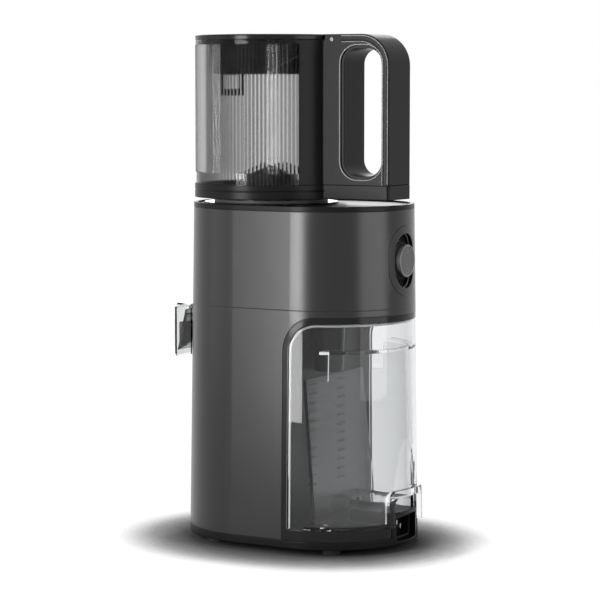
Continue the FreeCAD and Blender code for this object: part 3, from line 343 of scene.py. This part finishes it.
def rib_light_and_shade(tree, shader):
    """Painted light and shade of the ribs: light and dark bands round the hopper's axis, one to
    each rib, darker at the flanks.
    """
    place = tree.nodes.new("ShaderNodeTexCoord")
    parts = tree.nodes.new("ShaderNodeSeparateXYZ")
    from_axis = maths(tree, "SUBTRACT", parts.outputs["Y"], hopper_axis_y)
    angle = maths(tree, "ARCTAN2", from_axis, parts.outputs["X"])
    wave = maths(tree, "SINE", maths(tree, "MULTIPLY", angle, float(RIBS_PER_TURN)), 0.0)
    ribbed = maths(tree, "ADD", maths(tree, "MULTIPLY", wave, RIB_DEPTH), RIB_LEVEL)
    facing = add_node(tree, "ShaderNodeLayerWeight", Blend=0.35)
    flank = maths(tree, "MULTIPLY", facing.outputs["Facing"], RIB_FLANK)
    level = maths(tree, "SUBTRACT", ribbed, flank)
    ramp = two_tone(tree, RIB_DARK, RIB_LIGHT)
    tree.links.new(place.outputs["Object"], parts.inputs[0])
    tree.links.new(level, ramp.inputs[0])
    tree.links.new(ramp.outputs[0], shader.inputs["Base Color"])


def make_materials():
    made = {}
    for name, (colour, rough, scale, height, others) in SOLID_MATERIALS.items():
        made[name] = solid_material(name, colour, rough, scale, height, **others)
    made["clear_plastic"] = clear_material("clear_plastic", CLEAR_MIDDLE, 0.01, 1.31, edge_tint)
    # the smoky window's colour carries the painted light and shade of its ribs
    made["smoky_plastic"] = clear_material("smoky_plastic", SMOKY_TINT, 0.10, 1.2, rib_light_and_shade)
    return made


def dress_nodes(made):
    slot_of = {row["node"]: row["material_slot"] for row in frame["record"]["subparts"]}
    slot_of.update(OTHER_MATERIALS)
    for name, node in nodes.items():
        node.data.materials.clear()
        node.data.materials.append(made[slot_of[name]])
        for face in node.data.polygons:
            face.use_smooth = True
            face.material_index = 0
        crease(node.data)


def crease(mesh):
    """Edges sharper than the limit stay sharp, the rest of the mesh is smooth."""
    work = bmesh.new()
    work.from_mesh(mesh)
    sharp = [len(edge.link_faces) != 2 or edge.calc_face_angle(0.0) > SHARP_ANGLE
             for edge in work.edges]
    work.free()
    attribute = mesh.attributes.get("sharp_edge")
    if not attribute:
        attribute = mesh.attributes.new("sharp_edge", "BOOLEAN", "EDGE")
    attribute.data.foreach_set("value", sharp)


# Lines and marks
def line_piece(name, points, radius, material, body, closed=False):
    """A thin rod along a path, half sunk in the surface that it follows."""
    curve = bpy.data.curves.new(name, "CURVE")
    curve.dimensions = "3D"
    curve.bevel_depth = radius
    curve.bevel_resolution = 2
    curve.use_fill_caps = not closed
    spline = curve.splines.new("POLY")
    spline.points.add(len(points) - 1)
    for spot, point in zip(spline.points, points):
        spot.co = (point[0], point[1], point[2], 1.0)
    spline.use_cyclic_u = closed
    path = bpy.data.objects.new(name + "_path", curve)
    piece = bpy.data.objects.new(name, bpy.data.meshes.new_from_object(path))
    bpy.data.objects.remove(path)
    bpy.context.scene.collection.objects.link(piece)
    piece.data.materials.append(material)
    for face in piece.data.polygons:
        face.use_smooth = True
    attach(piece, body)


def body_radius(z):
    return radius_low - plan_taper * (z - ring_low.z)


def side_x(y, z, sink):
    """The body's side surface at a place along it, sunk by a little."""
    radius = body_radius(z) - sink
    past = max(0.0, y - back_centre)
    return math.sqrt(max(0.0, radius * radius - past * past))


def back_point(x, z, sink):
    """A place on the body's round back, sunk by a little."""
    radius = body_radius(z) - sink
    return (x, back_centre + math.sqrt(radius * radius - x * x), z)


def oval(half_width, half_height, middle_z, steps=OVAL_STEPS):
    """Places (x, z) round an upright oval of two half circles."""
    lift = half_height - half_width
    places = []
    for centre, start in ((lift, 0.0), (-lift, math.pi)):
        for step in range(steps + 1):
            turn = start + math.pi * step / steps
            places.append((half_width * math.cos(turn),
                           middle_z + centre + half_width * math.sin(turn)))
    return places


def opening_path(front, top, corner, low, sink):
    """Along the pulp opening's edge: up one side, round the back and down the other side."""
    half = [(side_x(front, low, sink), front, low)]
    for step in range(CORNER_STEPS + 1):
        turn = math.pi / 2 * step / CORNER_STEPS
        y = front + corner * (1 - math.cos(turn))
        z = top - corner * (1 - math.sin(turn))
        half.append((side_x(y, z, sink), y, z))
    radius = body_radius(top) - sink
    first = math.asin(min(1.0, max(0.0, (front + corner - back_centre) / radius)))
    for step in range(1, CORNER_STEPS + 1):
        turn = first + (math.pi / 2 - first) * step / CORNER_STEPS
        half.append((radius * math.cos(turn), back_centre + radius * math.sin(turn), top))
    mirrored = [(-x, y, z) for x, y, z in reversed(half[:-1])]
    return half + mirrored


def make_opening_lines(made):
    low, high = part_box("trim_frame")
    skin_low, skin_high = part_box("pulp_container")
    window_front = low.y + TRIM_BAR
    window_corner = TRIM_CORNER - TRIM_BAR
    for name, front, top, corner, bottom, sink, radius, material, body in (
            # near-black line: painted shade in the seam round the trim
            ("opening_seam", low.y, high.z, TRIM_CORNER, low.z,
             0.00045, 0.0005, "painted_seam_shade", "base"),
            # light line: painted highlight along the trim's edge
            ("opening_highlight", low.y + LINE_INSET, high.z - LINE_INSET,
             TRIM_CORNER - LINE_INSET, low.z, 0.0006, 0.0006, "painted_highlight_line", "base"),
            # light line: painted highlight along the window's edge
            ("window_highlight", window_front - 0.0008, skin_high.z + 0.0006, window_corner,
             skin_low.z, 0.0005, 0.0006, "painted_highlight_line", "base"),
            # painted highlight along the clear container's rim
            ("container_rim", window_front + LINE_INSET, skin_high.z - 0.0014,
             window_corner - LINE_INSET, skin_low.z + 0.0006,
             0.0010, 0.0010, "rim_highlight", "pulp_container")):
        points = opening_path(front, top, corner, bottom, sink)
        line_piece(name, points, radius, made[material], body)


def make_bezel_lines(made):
    low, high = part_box("dial_bezel")
    middle = (low.z + high.z) / 2
    half_width = high.x
    half_height = (high.z - low.z) / 2
    for name, inset, sink, radius, material in (
            # near-black line: painted shade in the bezel's seam
            ("bezel_seam", 0.0, 0.0001, 0.0006, "painted_seam_shade"),
            # light line: painted highlight on the bezel's edge
            ("bezel_highlight", 0.0012, 0.0, 0.0005, "painted_highlight_line"),
            # near-black line: painted shade in the bezel's groove
            ("bezel_groove", 0.0032, 0.0002, 0.0005, "painted_seam_shade"),
            # light line: painted highlight round the knob's recess
            ("recess_highlight", 0.0064, 0.0002, 0.0007, "painted_highlight_line")):
        points = [back_point(x, z, sink)
                  for x, z in oval(half_width - inset, half_height - inset, middle)]
        line_piece(name, points, radius, made[material], "base", closed=True)
    return middle


def make_knob_marks(made, middle):
    """A light ring at the edge of the knob's face, a painted highlight, with a small printed
    mark above and a larger one below.
    """
    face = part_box("dial_knob")[1].y - 0.0001
    reach = KNOB_FACE_RADIUS - 0.0009
    for name, lift, half_width, half_height, steps, radius in (
            # the ring is a painted highlight, the two marks are print
            ("knob_edge", 0.0, reach, reach, OVAL_STEPS, 0.0003),
            ("mark_high", 0.0085, 0.0011, 0.00165, 8, 0.0002),
            ("mark_low", -0.0085, 0.0016, 0.0024, 8, 0.0002)):
        points = [(x, face, z) for x, z in oval(half_width, half_height, middle + lift, steps)]
        line_piece(name, points, radius, made["print_and_highlight"], "dial", closed=True)


def handle_path(x, inset):
    """Up the handle's back edge, round its corner and forward along its top."""
    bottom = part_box("hopper_frame")[0].z + 0.001
    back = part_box("handle_cover")[1].y - inset
    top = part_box("lid_disc")[1].z - inset
    corner = HANDLE_CORNER - inset
    points = [(x, back, bottom)]
    for step in range(CORNER_STEPS + 1):
        turn = math.pi / 2 * step / CORNER_STEPS
        points.append((x, back - corner * (1 - math.cos(turn)),
                       top - corner * (1 - math.sin(turn))))
    points.append((x, hopper_axis_y + GRIP_FRONT - 0.002, top))
    return points


def rounded_rectangle(x, front, back, low, high, corner):
    points = []
    for y, z, start in ((back - corner, high - corner, 0), (front + corner, high - corner, 90),
                        (front + corner, low + corner, 180), (back - corner, low + corner, 270)):
        for step in range(GRIP_STEPS + 1):
            turn = math.radians(start + 90 * step / GRIP_STEPS)
            points.append((x, y + corner * math.cos(turn), z + corner * math.sin(turn)))
    return points


def make_handle_lines(made):
    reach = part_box("handle_cover")[1].x - 0.0003
    for x, end in ((-reach, "far"), (reach, "near")):
        # painted highlights and painted shade along the handle; the first line is a painted
        # highlight along the cover's edge
        for name, inset, radius, material in (("cover_highlight", 0.0014, 0.0006, "painted_highlight_line"),
                                              # near-black line: painted shade in the cover's
                                              # groove
                                              ("cover_groove", 0.0052, 0.0005, "painted_seam_shade"),
                                              # light line: painted highlight along the handle's
                                              # side
                                              ("side_highlight", 0.0066, 0.0005, "painted_highlight_line")):
            line_piece(name + "_" + end, handle_path(x, inset), radius, made[material], "hopper")
        # light line: painted highlight round the edge of the grip opening
        rim = rounded_rectangle(x, hopper_axis_y + GRIP_FRONT - GRIP_EDGE,
                                hopper_axis_y + GRIP_BACK + GRIP_EDGE / 2,
                                GRIP_LOW - GRIP_EDGE, GRIP_HIGH + GRIP_EDGE, GRIP_CORNER)
        line_piece("grip_highlight_" + end, rim, 0.0007, made["painted_highlight_line"], "hopper", closed=True)


make_camera()
make_world()
for softbox_name, softbox in SOFTBOXES.items():
    make_softbox(softbox_name, *softbox)
make_floor()
materials = make_materials()
dress_nodes(materials)
make_opening_lines(materials)
make_knob_marks(materials, make_bezel_lines(materials))
make_handle_lines(materials)

bpy.context.scene.view_settings.view_transform = "Standard"
